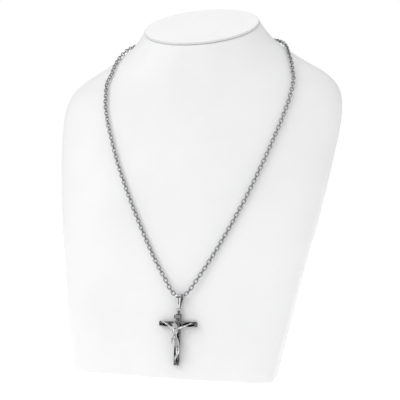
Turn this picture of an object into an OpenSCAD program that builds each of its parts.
// A crucifix pendant on a round-wire cable chain, hung on a plain neck bust.
// Millimetres. X runs to the viewer's right, the front faces -Y and the base stands on Z = 0.

/* [Bust] */
// Height of the bust at the middle of its neck
bust_h = 263; // [180:1:360]
// Width across the shoulders
bust_w = 228; // [170:1:300]
// Depth that the bust's sections are shares of
bust_d = 140; // [110:1:180]
// Slope of the neck's top, low in front
neck_tilt = 33; // [15:1:38]
// Points round each section of the bust
bust_sides = 56; // [32:4:80]

/* [Neck cap] */
// Thickness of the plate that closes the neck
cap_t = 1.8; // [1:0.1:4]
// How far the plate's edge lies inside the neck's edge
cap_inset = 0.3; // [0:0.1:2]
// Radius round the plate's upper edge
cap_edge = 0.8; // [0.3:0.1:1]
// Open seam between the neck and the plate
seam = 0.3; // [0.2:0.05:0.6]

/* [Chain] */
// Spacing of the links along the chain
link_pitch = 2.8; // [2.5:0.05:3.2]
// Width of a link outside its wire
link_w = 3.15; // [2.8:0.05:3.3]
// Diameter of the links' wire
link_wire = 0.68; // [0.5:0.02:0.75]
// Play between two links at the place where they bear on each other
link_play = 0.2; // [0.17:0.01:0.3]
// Gap between the chain and the bust
chain_gap = 0.4; // [0.3:0.05:1]

/* [Clasp] */
// Length of the clasp between the two places where the chain bears on it
clasp_l = 17; // [14:0.5:22]
// Length of the clasp's barrel
clasp_barrel_l = 11.5; // [9:0.5:13]
// Diameter of the clasp's barrel
clasp_d = 4.2; // [3.4:0.1:5]
// Round on the barrel's ends
clasp_edge = 0.6; // [0.2:0.1:1]

/* [Bail] */
// Height of the bail
bail_h = 10.9; // [9.6:0.1:13]
// Width of the bail near its top
bail_w = 4.3; // [4:0.1:5.6]
// Width of the bail at its foot
bail_foot_w = 1.4; // [1.2:0.1:1.8]
// Depth of the bail's upper loop outside
bail_d = 5.8; // [5.7:0.1:6.6]
// Depth of the bail's foot outside
bail_foot_d = 2.4; // [2.2:0.1:3]
// Thickness of the bail's ribbon
bail_t = 0.5; // [0.4:0.05:0.6]
// Round on the bail's upper corners, seen from the front
bail_corner = 1.4; // [1.2:0.1:1.9]
// Length of the groove down the bail's front
groove_l = 5.5; // [3:0.1:5.6]
// Height of the groove's lower end above the bail's foot
groove_low = 3.2; // [1.6:0.1:3.4]
// Width of the groove
groove_w = 0.5; // [0.3:0.05:1]
// Depth of the groove
groove_t = 0.2; // [0.1:0.05:0.3]

/* [Jump ring] */
// Diameter of the jump ring outside
ring_d = 4.1; // [4:0.1:5]
// Diameter of its wire
ring_wire = 0.6; // [0.5:0.05:0.7]

/* [Cross] */
// Diameter of the upright bar
post_d = 4; // [3.2:0.1:5]
// Length of the upright below the middle of the crossbar
post_below = 28.9; // [27:0.1:36]
// Length of the upright above the middle of the crossbar
post_above = 7.2; // [7:0.1:10]
// Diameter of the crossbar
bar_d = 3.7; // [3.3:0.1:4.2]
// Length of the crossbar
bar_l = 27.7; // [25:0.1:34]
// Bevel round the ends of both bars
log_bevel = 0.45; // [0.2:0.05:0.8]
// Height of the middle of the eye above the upright's end
eye_rise = 1.3; // [1.2:0.05:1.8]
// Diameter of the eye outside
eye_d = 2.4; // [2.2:0.1:3]
// Bore of the eye
eye_bore = 1.2; // [1.1:0.05:1.4]
// Thickness of the eye, measured along the crossbar
eye_t = 1.4; // [1:0.1:1.6]
// Turn of the cross on its ring, seen from the front
cross_turn = -1; // [-3:0.1:3]

/* [Scroll] */
// Width of the scroll plate between the middles of its curls
scroll_w = 4.8; // [4.4:0.1:7]
// Height of the scroll plate
scroll_h = 2.6; // [2:0.1:3]
// Thickness of the scroll plate
scroll_t = 0.7; // [0.5:0.05:1.2]
// How far the plate's face stands in front of the upright
scroll_rise = 0.45; // [0.3:0.05:0.8]
// Diameter of the curl at each end of the scroll
scroll_curl = 0.95; // [0.8:0.05:1.4]
// Height of the scroll's middle above the crossbar's middle
scroll_z = 5; // [4:0.1:5.6]

/* [Figure] */
// Height from the crossbar's middle down to the figure's toes
figure_h = 25.4; // [24:0.1:26]
// Reach from hand to hand
figure_w = 20.6; // [19:0.1:22]
// Depth of the figure in front of the bars' middle plane
figure_d = 5; // [4.6:0.1:5.4]
// Diameter of the pegs that hold the hands and feet
peg_d = 0.8; // [0.6:0.05:1]
// Depth of the peg holes in the cross
peg_hole = 1.2; // [0.8:0.1:1.6]
// How far the pegs reach up into the hands and feet
peg_root = 0.7; // [0.55:0.05:0.8]

/* [Fits] */
// Gap between a piece and the piece that it bears on
fit = 0.12; // [0.1:0.01:0.16]
// Gap between the chain and the inside of the bail
bail_play = 0.25; // [0.2:0.01:0.35]
// Gap between the pendant and the bust
lay = 0.25; // [0.15:0.05:0.8]
// Gap between the figure's back and the bars
back_gap = 0.12; // [0.1:0.01:0.3]

/* [Hidden] */
round_fn = 48;
wire_fn = 24;
// How far a piece that is cast on reaches into the one that carries it
cast_root = 0.6;

// Sections of the bust from the base up:
// height (of bust_h), middle (of bust_d), half width (of bust_w), front and back depth (of bust_d),
// slope (of neck_tilt), fullness of the corners
SECTIONS = [
    [0.00,  -0.4,   0.330, 0.072, 0.63,  0.00, 0.050],
    [0.12,  -0.34,  0.362, 0.078, 0.61,  0.00, 0.048],
    [0.25,  -0.26,  0.395, 0.100, 0.58,  0.00, 0.045],
    [0.40,  -0.155, 0.435, 0.130, 0.53,  0.03, 0.040],
    [0.54,  -0.05,  0.468, 0.165, 0.48,  0.10, 0.035],
    [0.66,  0.05,   0.492, 0.200, 0.425, 0.18, 0.030],
    [0.74,  0.115,  0.500, 0.220, 0.38,  0.25, 0.026],
    [0.80,  0.16,   0.487, 0.225, 0.34,  0.36, 0.020],
    [0.845, 0.19,   0.442, 0.228, 0.305, 0.48, 0.010],
    [0.88,  0.2,    0.375, 0.230, 0.28,  0.60, 0.000],
    [0.915, 0.2,    0.310, 0.235, 0.26,  0.75, 0.000],
    [0.955, 0.195,  0.250, 0.238, 0.245, 0.90, 0.000],
    [1.00,  0.19,   0.210, 0.240, 0.240, 1.00, 0.000]
];
section_last = len(SECTIONS) - 1;
rings_per_section = 3;

// Route of the chain over the bust, from the clasp round the viewer's right, through the bail and back:
// angle round the bust (0 in front, 90 at the viewer's right), height (of bust_h),
// lift at the bail, lift at the clasp (each of the lift that this piece needs)
CHAIN_ROUTE = [
    [180,   0.925, 0,   1],
    [165,   0.925, 0,   1],
    [140,   0.925, 0,   0],
    [115,   0.927, 0,   0],
    [95,    0.922, 0,   0],
    [78,    0.908, 0,   0],
    [62,    0.880, 0,   0],
    [51,    0.850, 0,   0],
    [43,    0.808, 0,   0],
    [38.4,  0.750, 0,   0],
    [34.8,  0.678, 0,   0],
    [30.5,  0.584, 0,   0],
    [25.9,  0.493, 0,   0],
    [20.6,  0.404, 0,   0],
    [14.6,  0.316, 0.1, 0],
    [9.8,   0.256, 0.7, 0],
    [7.0,   0.226, 1,   0],
    [3.9,   0.214, 1,   0],
    [0.8,   0.226, 1,   0],
    [-2.2,  0.256, 0.7, 0],
    [-7.3,  0.312, 0.1, 0],
    [-13.7, 0.400, 0,   0],
    [-19.5, 0.491, 0,   0],
    [-25.0, 0.586, 0,   0],
    [-30.0, 0.686, 0,   0],
    [-34.2, 0.764, 0,   0],
    [-39.2, 0.819, 0,   0],
    [-51,   0.868, 0,   0],
    [-64,   0.898, 0,   0],
    [-80,   0.920, 0,   0],
    [-95,   0.932, 0,   0],
    [-115,  0.933, 0,   0],
    [-140,  0.928, 0,   0],
    [-165,  0.925, 0,   1],
    [-180,  0.925, 0,   1]
];
route_last = len(CHAIN_ROUTE) - 1;
bail_stop = 17;
steps_per_stop = 12;

// Smooth blend through four rows of a table, f from 0 at b to 1 at c
function blend(a, b, c, d, f) =
    0.5 * (2 * b + (c - a) * f + (2 * a - 5 * b + 4 * c - d) * f * f + (3 * b - a - 3 * c + d) * f * f * f);

// Row of a table at a place between its rows
function between(rows, t) =
    let (last = len(rows) - 1, i = max(0, min(last - 1, floor(t))))
    blend(rows[max(0, i - 1)], rows[i], rows[i + 1], rows[min(last, i + 2)], t - i);

function unit(v) = v / norm(v);

// Point of the bust's surface: t along SECTIONS, a round the section
function bust_point(t, a) =
    let (s = between(SECTIONS, t), full = s[6], slope = s[5] * neck_tilt,
         across = (sin(a) + full * sin(3 * a)) / (1 - full),
         along = (cos(a) - full * cos(3 * a)) / (1 - full),
         depth = -along * bust_d * (along > 0 ? s[3] : s[4]))
    [s[2] * bust_w * across, s[1] * bust_d + depth * cos(slope), s[0] * bust_h + depth * sin(slope)];

// Direction straight out of the bust's surface, from two short steps along it
angle_step = 0.05;
place_step = 0.002;
function bust_out(t, a) =
    unit(cross(bust_point(t, a + angle_step) - bust_point(t, a - angle_step),
               bust_point(t + place_step, a) - bust_point(t - place_step, a)));

// Place along SECTIONS for a share of the height
height_steps = 16;
HEIGHTS = [for (i = [0:height_steps * section_last])
    [between(SECTIONS, i / height_steps)[0], i / height_steps]];
function place_of(h) = lookup(h, HEIGHTS);

// Sizes that follow from the driving ones
link_l = link_pitch + 2 * link_wire + link_play;
bail_in = bail_d / 2 - bail_t;
foot_in = bail_foot_d / 2 - bail_t;
post_y = -(post_d / 2 + lay);
chain_out = link_w / 2 + chain_gap;
bail_lift = max(0, bail_d / 2 + lay - chain_out);
clasp_row = between(SECTIONS, place_of(CHAIN_ROUTE[0][1]));
clasp_sag = pow(clasp_l / 2, 2) / 2 * clasp_row[4] * bust_d / pow(clasp_row[2] * bust_w, 2);
clasp_lift = clasp_d / 2 + chain_gap + clasp_sag - chain_out;

// Heights in the pendant, measured up its face from the crossbar's middle
ring_mid = (ring_d - ring_wire) / 2;
ring_in = ring_d / 2 - ring_wire;
eye_z = post_above + eye_rise;
ring_z = eye_z + eye_bore / 2 - fit + sqrt(pow(ring_in, 2) - pow(eye_t / 2, 2));
foot_x = bail_foot_w / 2 + bail_t * (bail_w - bail_foot_w) / 2 / (bail_h - bail_corner);
foot_inner_z = ring_z + sqrt(pow(ring_in - fit, 2) - pow(foot_x, 2));
bail_foot_z = foot_inner_z - bail_t;
bail_low_z = foot_inner_z + foot_in;
bail_high_z = bail_foot_z + bail_h - bail_d / 2;
chain_z = bail_high_z + bail_in - link_w / 2 - bail_play;

// The chain's middle line: points in space with their length along it
function route_point(u) =
    let (r = between(CHAIN_ROUTE, u), t = place_of(r[1]))
    bust_point(t, r[0]) + bust_out(t, r[0]) * (chain_out + r[2] * bail_lift + r[3] * clasp_lift);
function route_out(u) = let (r = between(CHAIN_ROUTE, u)) bust_out(place_of(r[1]), r[0]);

STOPS = [for (i = [0:steps_per_stop * route_last]) i / steps_per_stop];
PATH = [for (u = STOPS) route_point(u)];
LENGTHS = [for (i = 0, s = 0; i < len(PATH); i = i + 1, s = i < len(PATH) ? s + norm(PATH[i] - PATH[i - 1]) : s) s];
STOP_OF_LENGTH = [for (i = [0:len(PATH) - 1]) [LENGTHS[i], STOPS[i]]];
bail_s = LENGTHS[bail_stop * steps_per_stop];
loop_l = LENGTHS[len(PATH) - 1];

// Links are counted from the one inside the bail, which is number 0
run_right = bail_s - clasp_l / 2;
run_left = loop_l - bail_s - clasp_l / 2;
links_right = round(run_right / link_pitch - 0.5);
links_left = round(run_left / link_pitch - 0.5);
pitch_right = run_right / (links_right + 0.5);
pitch_left = run_left / (links_left + 0.5);

// Joint k lies between links k - 1 and k, with links counted up to the viewer's right
function joint_stop(k) =
    let (step = k - 0.5) lookup(bail_s - step * (step > 0 ? pitch_right : pitch_left), STOP_OF_LENGTH);
function joint(k) = route_point(joint_stop(k));

// Frame of a link: along it, across it and its middle
function link_frame(k) =
    let (a = joint(k), b = joint(k + 1), out = route_out((joint_stop(k) + joint_stop(k + 1)) / 2),
         along = unit(b - a), side = unit(cross(out, along)), up = cross(along, side))
    k % 2 == 0 ? frame_of(along, side, up, (a + b) / 2) : frame_of(along, up, -side, (a + b) / 2);
function frame_of(x, y, z, p) =
    [[x[0], y[0], z[0], p[0]], [x[1], y[1], z[1], p[1]], [x[2], y[2], z[2], p[2]], [0, 0, 0, 1]];

// Where the pendant lies: its face leans with the bust's front, and its bail hangs on link 0.
// The lean is taken down to the height (of bust_h) that the cross's foot reaches.
hang_row = CHAIN_ROUTE[bail_stop];
hang = bust_point(place_of(hang_row[1]), hang_row[0]);
foot_share = 0.06;
hang_foot = bust_point(place_of(foot_share), hang_row[0]);
lean = atan2(hang[1] - hang_foot[1], hang[2] - hang_foot[2]);
hang_link = (joint(0) + joint(1)) / 2 - hang;
hang_rise = hang_link * [0, sin(lean), cos(lean)];
bail_y = -(hang_link * [0, -cos(lean), sin(lean)]);
ring_y = post_y;
bail_swing = asin((bail_y - ring_y) / (bail_high_z - bail_low_z));

// One pass of a closed skin over rings of equal length, first ring at the bottom
module skin(rings) {
    n = len(rings[0]);
    last = len(rings) - 1;
    points = [for (ring = rings) each ring];
    walls = [for (i = [0:last - 1], j = [0:n - 1])
        each [[i * n + j, (i + 1) * n + j, i * n + (j + 1) % n],
              [(i + 1) * n + j, (i + 1) * n + (j + 1) % n, i * n + (j + 1) % n]]];
    bottom = [[for (j = [0:n - 1]) j]];
    top = [[for (j = [n - 1:-1:0]) last * n + j]];
    polyhedron(points, concat(walls, bottom, top));
}

module neck_bust() {
    color("whitesmoke")
    skin([for (i = [0:rings_per_section * section_last])
        [for (j = [0:bust_sides - 1]) bust_point(i / rings_per_section, j * 360 / bust_sides)]]);
}

// Ring of the neck's cap: inside the neck's edge by inset and above the neck by rise
function cap_ring(inset, rise) =
    let (s = SECTIONS[section_last], w = s[2] * bust_w, d = s[3] * bust_d, up = [0, -sin(neck_tilt), cos(neck_tilt)])
    [for (j = [0:bust_sides - 1]) let (a = j * 360 / bust_sides)
        [(w - inset) * sin(a), s[1] * bust_d - (d - inset) * cos(a) * cos(neck_tilt),
         s[0] * bust_h - (d - inset) * cos(a) * sin(neck_tilt)] + rise * up];

module neck_cap() {
    color("white")
    skin(concat([cap_ring(cap_inset, seam)],
        [for (a = [0:22.5:90])
            cap_ring(cap_inset + cap_edge * (1 - cos(a)), seam + cap_t - cap_edge * (1 - sin(a)))]));
}

// One link lying in the XY plane, long along X
module link() {
    r = (link_w - link_wire) / 2;
    half = (link_l - link_w) / 2;
    for (end = [0, 1])
        rotate([0, 0, 180 * end])
        translate([half, 0, 0])
        rotate([0, 0, -90])
        rotate_extrude(angle = 180, $fn = round_fn)
        translate([r, 0]) circle(d = link_wire, $fn = wire_fn);
    for (side = [-1, 1])
        translate([-half, side * r, 0])
        rotate([0, 90, 0])
        cylinder(d = link_wire, h = 2 * half, $fn = wire_fn);
}

module chain() {
    color("silver")
    for (k = [-links_left:links_right]) multmatrix(link_frame(k)) link();
}

// Barrel clasp with an eye at each end, lying across the back of the neck
module clasp() {
    right = joint(links_right + 1);
    left = joint(-links_left);
    out = route_out(0);
    along = unit(left - right);
    side = unit(cross(out, along));
    up = cross(along, side);
    reach = norm(left - right) / 2 - link_pitch / 2;
    color("silver")
    multmatrix(frame_of(along, side, up, (left + right) / 2)) {
        rotate([0, 90, 0])
        rotate_extrude($fn = round_fn)
        polygon([[0, -clasp_barrel_l / 2], [clasp_d / 2 - clasp_edge, -clasp_barrel_l / 2],
                 [clasp_d / 2, -clasp_barrel_l / 2 + clasp_edge], [clasp_d / 2, clasp_barrel_l / 2 - clasp_edge],
                 [clasp_d / 2 - clasp_edge, clasp_barrel_l / 2], [0, clasp_barrel_l / 2]]);
        translate([-reach, 0, 0]) rotate([(links_right + 1) % 2 == 0 ? 0 : 90, 0, 0]) link();
        translate([reach, 0, 0]) rotate([(links_left + 1) % 2 == 0 ? 0 : 90, 0, 0]) link();
    }
}

// Everything in the pendant stands in this frame: the bust's face is its XZ plane
module on_bust() {
    translate(hang) rotate([-lean, 0, 0]) translate([hang_link[0], 0, hang_rise - chain_z]) children();
}

// The cross and the figure stand upright here, and hang from the ring's middle by cross_turn
module on_ring() {
    on_bust()
    translate([0, post_y, ring_z]) rotate([0, cross_turn, 0]) translate([0, 0, -ring_z]) children();
}

// Two circles joined by their tangents, big one at high, small one at low
module drop_outline(high, high_r, low, low_r) {
    s = (high_r - low_r) / (high - low);
    c = sqrt(1 - s * s);
    translate([0, high]) circle(r = high_r, $fn = round_fn);
    translate([0, low]) circle(r = low_r, $fn = round_fn);
    polygon([[high_r * c, high - high_r * s], [-high_r * c, high - high_r * s],
             [-low_r * c, low - low_r * s], [low_r * c, low - low_r * s]]);
}

// Ribbon of the bail seen from the side, between two depths below its outer face
module ribbon(outer, inner) {
    difference() {
        drop_outline(bail_high_z, bail_d / 2 - outer, bail_low_z, bail_foot_d / 2 - outer);
        drop_outline(bail_high_z, bail_d / 2 - inner, bail_low_z, bail_foot_d / 2 - inner);
    }
}

// Front view of the bail: wide and round-cornered at the top, narrow at the foot
module bail_front() {
    corner = [bail_w / 2 - bail_corner, bail_high_z + bail_d / 2 - bail_corner];
    arc = [for (a = [0:10:90]) corner + bail_corner * [cos(a), sin(a)]];
    right = concat([[bail_foot_w / 2, bail_foot_z]], arc);
    left = [for (i = [len(right) - 1:-1:0]) [-right[i][0], right[i][1]]];
    polygon(concat(right, left));
}

module bail() {
    color("silver")
    on_bust()
    translate([0, ring_y, bail_low_z]) rotate([-bail_swing, 0, 0]) translate([0, 0, -bail_low_z])
    difference() {
        intersection() {
            translate([-bail_w / 2 - 1, 0, 0]) rotate([90, 0, 90]) linear_extrude(bail_w + 2) ribbon(0, bail_t);
            translate([0, bail_d, 0]) rotate([90, 0, 0]) linear_extrude(2 * bail_d) bail_front();
        }
        intersection() {
            translate([-groove_w / 2, 0, 0]) rotate([90, 0, 90]) linear_extrude(groove_w) ribbon(-1, groove_t);
            translate([-groove_w, -bail_d, bail_foot_z + groove_low]) cube([2 * groove_w, bail_d, groove_l]);
        }
    }
}

module jump_ring() {
    color("silver")
    on_bust()
    translate([0, ring_y, ring_z]) rotate([90, 0, 0])
    rotate_extrude($fn = round_fn) translate([ring_mid, 0]) circle(d = ring_wire, $fn = wire_fn);
}

// Round bar with bevelled ends and a slight swell, standing from low to high
module log_bar(d, low, high) {
    rotate_extrude($fn = round_fn)
    polygon([[0, low], [d / 2 - log_bevel, low], [d / 2, low + log_bevel],
             [d / 2, high - log_bevel], [d / 2 - log_bevel, high], [0, high]]);
}

// Places of the pegs: share of figure_w across, share of figure_h down, and the bar's diameter there
PEGS = [[-0.5, -0.036, bar_d], [0.46, -0.003, bar_d], [0, 0.945, post_d]];

// The eye on top of the upright and the short neck that carries it
module eye_lug() {
    translate([-eye_t / 2, 0, eye_z]) rotate([0, 90, 0]) cylinder(d = eye_d, h = eye_t, $fn = round_fn);
    translate([-eye_t / 2, -eye_d / 2, post_above - cast_root]) cube([eye_t, eye_d, eye_rise + cast_root]);
}

// Bare scroll plate in front of the upright, with a curl at each end
module scroll() {
    face = -post_d / 2 - scroll_rise;
    low = scroll_z - scroll_h / 2;
    translate([-scroll_w / 2, face, low]) cube([scroll_w, scroll_t, scroll_h]);
    for (side = [-1, 1])
        translate([side * scroll_w / 2, face + scroll_t / 2, low])
        cylinder(d = scroll_curl, h = scroll_h, $fn = 32);
}

module cross() {
    color("dimgray")
    on_ring()
    difference() {
        union() {
            log_bar(post_d, -post_below, post_above);
            rotate([0, 90, 0]) log_bar(bar_d, -bar_l / 2, bar_l / 2);
            eye_lug();
            scroll();
        }
        translate([-eye_t, 0, eye_z]) rotate([0, 90, 0]) cylinder(d = eye_bore, h = 2 * eye_t, $fn = round_fn);
        for (peg = PEGS)
            translate([peg[0] * figure_w, peg_hole - peg[2] / 2, -peg[1] * figure_h])
            rotate([90, 0, 0]) cylinder(d = peg_d + 2 * fit, h = 2 * peg_hole, $fn = 32);
    }
}

// The cast figure. Each row is a ball of its body:
// across (of figure_w), down (of figure_h), forward of the bars' middle plane (of figure_d), radius (of figure_w)
CHEST = [
    [-0.160, 0.120, 0.60, 0.050],
    [0.060,  0.125, 0.60, 0.050],
    [-0.107, 0.215, 0.66, 0.062],
    [0.018,  0.220, 0.66, 0.062]
];
WAIST = [
    [-0.093, 0.345, 0.62, 0.042],
    [-0.012, 0.345, 0.62, 0.042]
];
HIPS = [
    [-0.105, 0.425, 0.64, 0.060],
    [0.015,  0.425, 0.64, 0.060]
];
ARM_LEFT = [
    [-0.175, 0.115, 0.60, 0.050],
    [-0.275, 0.066, 0.64, 0.034],
    [-0.355, 0.022, 0.64, 0.034],
    [-0.450, -0.020, 0.60, 0.023],
    [-0.500, -0.036, 0.56, 0.028],
    [-0.535, -0.045, 0.56, 0.020]
];
ARM_RIGHT = [
    [0.075, 0.128, 0.60, 0.050],
    [0.180, 0.098, 0.64, 0.034],
    [0.280, 0.062, 0.64, 0.034],
    [0.390, 0.022, 0.60, 0.023],
    [0.460, -0.003, 0.56, 0.028],
    [0.495, -0.014, 0.56, 0.020]
];
LEG_LEFT = [
    [-0.075, 0.460, 0.64, 0.060],
    [-0.010, 0.590, 0.70, 0.050],
    [0.040,  0.705, 0.76, 0.040],
    [0.042,  0.790, 0.66, 0.042],
    [0.028,  0.885, 0.60, 0.026]
];
LEG_RIGHT = [
    [0.028, 0.460, 0.64, 0.060],
    [0.082, 0.590, 0.69, 0.050],
    [0.112, 0.700, 0.75, 0.040],
    [0.105, 0.790, 0.65, 0.042],
    [0.055, 0.885, 0.58, 0.026]
];
FEET = [
    [0.030, 0.895, 0.62, 0.030],
    [0.002, 0.940, 0.58, 0.032],
    [-0.018, 0.980, 0.56, 0.026]
];
NECK = [
    [-0.050, 0.125, 0.64, 0.042],
    [-0.066, 0.070, 0.74, 0.040]
];
HEAD = [
    [-0.066, 0.034, 0.78, 0.066],
    [-0.076, 0.064, 0.84, 0.056],
    [-0.086, 0.096, 0.86, 0.036]
];
HAIR_LEFT = [
    [-0.105, 0.034, 0.72, 0.050],
    [-0.132, 0.079, 0.72, 0.036],
    [-0.134, 0.129, 0.74, 0.026]
];
HAIR_RIGHT = [
    [-0.027, 0.036, 0.72, 0.050],
    [-0.014, 0.080, 0.74, 0.034],
    [-0.008, 0.124, 0.74, 0.024]
];
CLOTH = [
    [-0.110, 0.375, 0.66, 0.062],
    [0.022,  0.380, 0.66, 0.062],
    [-0.102, 0.500, 0.70, 0.072],
    [0.028,  0.500, 0.70, 0.072]
];
CLOTH_KNOT = [
    [-0.160, 0.385, 0.70, 0.036],
    [-0.175, 0.440, 0.66, 0.034],
    [-0.170, 0.520, 0.60, 0.026]
];
ball_fn = 16;

module ball(row) {
    translate([row[0] * figure_w, -row[2] * figure_d, -row[1] * figure_h])
    sphere(r = row[3] * figure_w, $fn = ball_fn);
}

// Balls joined one to the next, as a limb
module limb(rows) {
    for (i = [0:len(rows) - 2]) hull() {
        ball(rows[i]);
        ball(rows[i + 1]);
    }
}

// Balls joined all together, as a trunk
module trunk(rows) {
    hull() for (row = rows) ball(row);
}

module figure_body() {
    trunk(CHEST);
    trunk(concat([CHEST[2], CHEST[3]], WAIST));
    trunk(concat(WAIST, HIPS));
    trunk(CLOTH);
    limb(CLOTH_KNOT);
    limb(ARM_LEFT);
    limb(ARM_RIGHT);
    limb(LEG_LEFT);
    limb(LEG_RIGHT);
    limb(FEET);
    limb(NECK);
    trunk(HEAD);
    limb(HAIR_LEFT);
    limb(HAIR_RIGHT);
}

// The figure's back follows the round bars at back_gap, and its pegs stand in the bars' holes
module corpus() {
    color("silver")
    on_ring() {
        difference() {
            figure_body();
            cylinder(d = post_d + 2 * back_gap, h = 3 * figure_h, center = true, $fn = 64);
            rotate([0, 90, 0]) cylinder(d = bar_d + 2 * back_gap, h = 2 * figure_w, center = true, $fn = 64);
            translate([-figure_w, 0, -2 * figure_h]) cube([2 * figure_w, figure_d, 4 * figure_h]);
        }
        for (peg = PEGS)
            translate([peg[0] * figure_w, -peg[2] / 2 + peg_hole - fit, -peg[1] * figure_h])
            rotate([90, 0, 0]) cylinder(d = peg_d, h = peg_hole - fit + peg_root, $fn = wire_fn);
    }
}

neck_bust();
neck_cap();
chain();
clasp();
bail();
jump_ring();
cross();
corpus();
